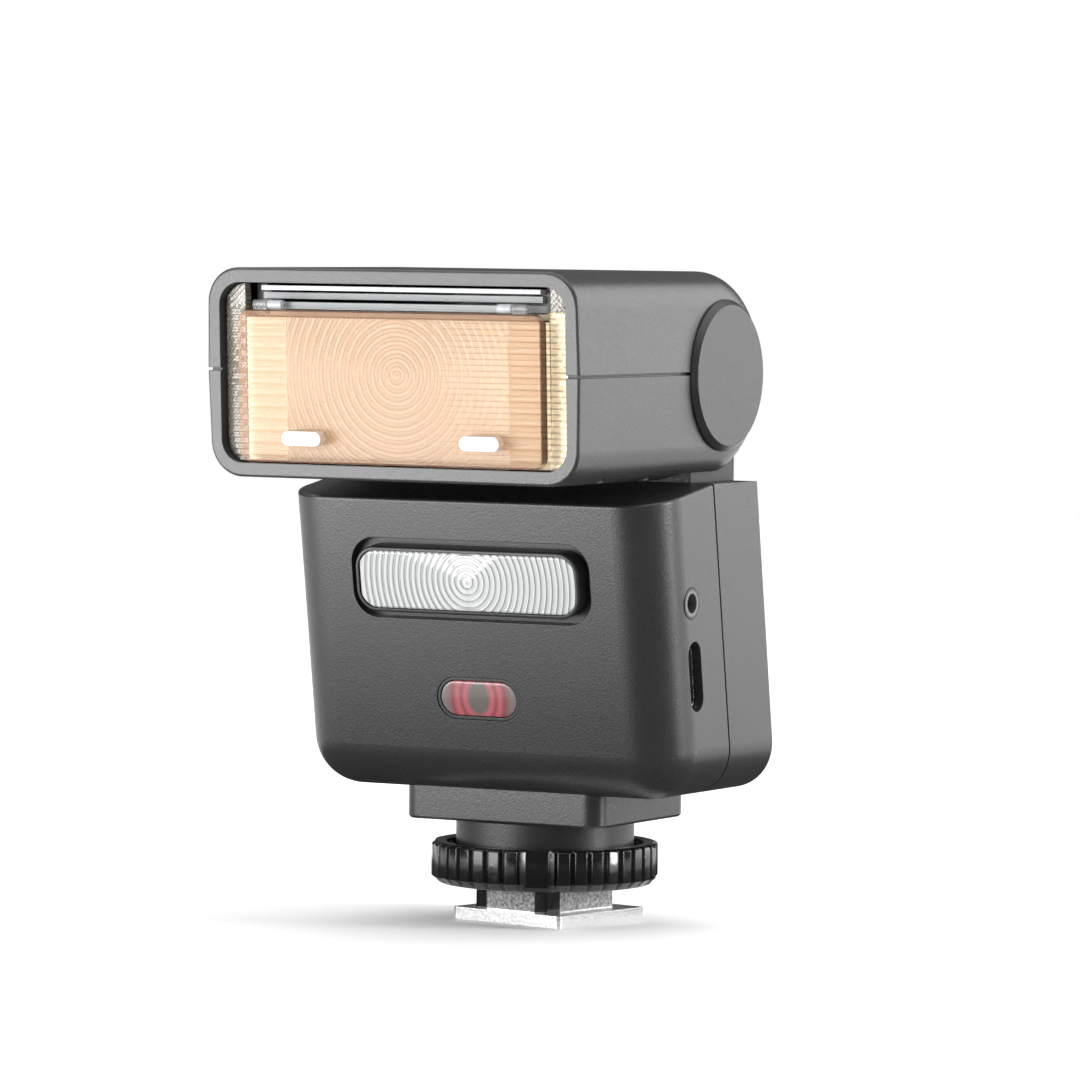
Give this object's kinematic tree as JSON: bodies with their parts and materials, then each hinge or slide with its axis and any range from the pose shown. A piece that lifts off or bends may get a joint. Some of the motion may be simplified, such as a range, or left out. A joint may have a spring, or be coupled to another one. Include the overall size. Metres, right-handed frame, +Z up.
{
  "type": "speedlight",
  "caption": "Compact camera-top flash: tilting head with flip-up amber filter and pull-out panels, front light, swivel body, shoe foot with lock wheel",
  "frame": {"origin": "centre of the underside of the shoe foot, on the lock wheel's axis", "axes": "+Z up along the flash, -Y the way the light leaves, +X the side with the two sockets; the body is turned 11 degrees on its swivel from the foot, as it stands"},
  "size_m": [0.0568, 0.0586, 0.0874],
  "materials": {
    "shell": "fine spark-eroded satin, charcoal",
    "dark": "satin black",
    "cap": "satin charcoal",
    "wheel": "gloss black, moulded grip ribs",
    "control": "soft satin black",
    "foot_metal": "bead-blasted",
    "clamp_metal": "brushed",
    "contact": "gold-plated",
    "insulator": "black",
    "screw": "blackened",
    "bush": "turned",
    "washer": "natural acetal",
    "amber": "amber gel filter, rounded edges",
    "grip": "white grip pads",
    "clear": "clear acrylic",
    "card": "white",
    "fresnel": "ribbed acrylic lens",
    "led_glass": "ribbed acrylic lens",
    "led_chip": "phosphor",
    "red_glass": "deep red window",
    "reflector": "polished",
    "tube": "quartz",
    "board": "green solder mask",
    "battery": "blue wrap",
    "capacitor": "black sleeve",
    "display_glass": "smoked window",
    "display": "grey-green liquid crystal",
    "port_metal": "nickel"
  },
  "bodies": {
    "foot": {"foot_plate": "foot_metal", "contact_block": "insulator", "collar_screws": "screw", "swivel_collar": "dark", "swivel_keeper": "clamp_metal"},
    "contacts": {"contact_pins": "contact"},
    "wheel": {"lock_wheel": "wheel"},
    "clamp": {"clamp_plate": "clamp_metal"},
    "pin": {"lock_pin": "clamp_metal"},
    "body": {"pedestal": "shell", "pedestal_plate": "clamp_metal", "pedestal_screws": "screw", "front_casing": "shell", "rear_casing": "shell", "casing_screws": "screw", "neck_drum": "dark", "neck_screws": "screw", "hinge_washers": "washer", "led_tray": "dark", "led_frame": "dark", "led_lens": "led_glass", "led_board": "board", "led_emitters": "led_chip", "af_bezel": "dark", "af_window": "red_glass", "af_lamp": "board", "sync_jack": "dark", "usb_socket": "port_metal", "usb_tongue": "dark", "port_board": "board", "battery_pack": "battery", "flash_capacitor": "capacitor", "main_board": "board", "display_window": "display_glass", "display_panel": "display", "dial_encoder": "dark"},
    "dial": {"control_dial": "control"},
    "set": {"set_button": "control"},
    "mode": {"mode_button": "control"},
    "menu": {"menu_button": "control"},
    "test": {"test_button": "control"},
    "switch": {"power_switch": "control"},
    "head": {"hinge_bushes": "bush", "hinge_caps": "cap", "head_upper_shell": "shell", "head_lower_shell": "shell", "head_screws": "screw", "panel_tray": "dark", "fresnel_lens": "fresnel", "reflector": "reflector", "flash_tube": "tube", "trigger_board": "board"},
    "carrier": {"filter_carrier": "clear"},
    "filter": {"filter_plate": "amber", "filter_pads": "grip", "filter_lugs": "clear", "filter_hinge_pins": "clamp_metal"},
    "diffuser": {"diffuser_panel": "clear"},
    "bounce": {"bounce_card": "card"}
  },
  "joints": [
    {"name": "contact_travel", "type": "slide", "parent": "foot", "child": "contacts", "axis": [0, 0, 1], "range_m": [0, 0.0005], "stiffness_N_per_m": 400, "springref_m": -0.0006},
    {"name": "wheel_turn", "type": "hinge", "parent": "foot", "child": "wheel", "pos_m": [0, 0, 0.008], "axis": [0, 0, 1], "range_deg": [0, 100]},
    {"name": "clamp_travel", "type": "slide", "parent": "foot", "child": "clamp", "axis": [0, 0, -1], "range_m": [0, 0.0018]},
    {"name": "pin_travel", "type": "slide", "parent": "foot", "child": "pin", "axis": [0, 0, -1], "range_m": [0, 0.0012]},
    {"name": "body_swivel", "type": "hinge", "parent": "foot", "child": "body", "pos_m": [0, 0, 0.016], "axis": [0, 0, 1], "range_deg": [-146, 124]},
    {"name": "head_tilt", "type": "hinge", "parent": "body", "child": "head", "pos_m": [0, -0.0023, 0.07385], "axis": [-1, 0, 0], "range_deg": [0, 90]},
    {"name": "carrier_slide", "type": "slide", "parent": "head", "child": "carrier", "axis": [0, -1, 0], "range_m": [0, 0.02]},
    {"name": "filter_flip", "type": "hinge", "parent": "carrier", "child": "filter", "pos_m": [0, -0.04263, 0.0827], "axis": [-1, 0, 0], "range_deg": [0, 90]},
    {"name": "diffuser_slide", "type": "slide", "parent": "head", "child": "diffuser", "axis": [0, -1, 0], "range_m": [0, 0.022]},
    {"name": "card_slide", "type": "slide", "parent": "head", "child": "bounce", "axis": [0, -1, 0], "range_m": [0, 0.0225]},
    {"name": "dial_turn", "type": "hinge", "parent": "body", "child": "dial", "pos_m": [0, 0.01047, 0.03238], "axis": [0, 0.9877, 0.1564], "continuous": true},
    {"name": "set_press", "type": "slide", "parent": "body", "child": "set", "axis": [0, -0.9877, -0.1564], "range_m": [0, 0.0004], "stiffness_N_per_m": 400, "springref_m": -0.0006},
    {"name": "mode_press", "type": "slide", "parent": "body", "child": "mode", "axis": [0, -0.9877, -0.1564], "range_m": [0, 0.0004], "stiffness_N_per_m": 400, "springref_m": -0.0006},
    {"name": "menu_press", "type": "slide", "parent": "body", "child": "menu", "axis": [0, -0.9877, -0.1564], "range_m": [0, 0.0004], "stiffness_N_per_m": 400, "springref_m": -0.0006},
    {"name": "test_press", "type": "slide", "parent": "body", "child": "test", "axis": [0, -0.9877, -0.1564], "range_m": [0, 0.0004], "stiffness_N_per_m": 400, "springref_m": -0.0006},
    {"name": "power_slide", "type": "slide", "parent": "body", "child": "switch", "axis": [-1, 0, 0], "range_m": [0, 0.0032]}
  ],
  "couplings": [
    {"joint": "clamp_travel", "follows": "wheel_turn", "m_per_rad": 0.001},
    {"joint": "pin_travel", "follows": "wheel_turn", "m_per_rad": 0.00065}
  ]
}
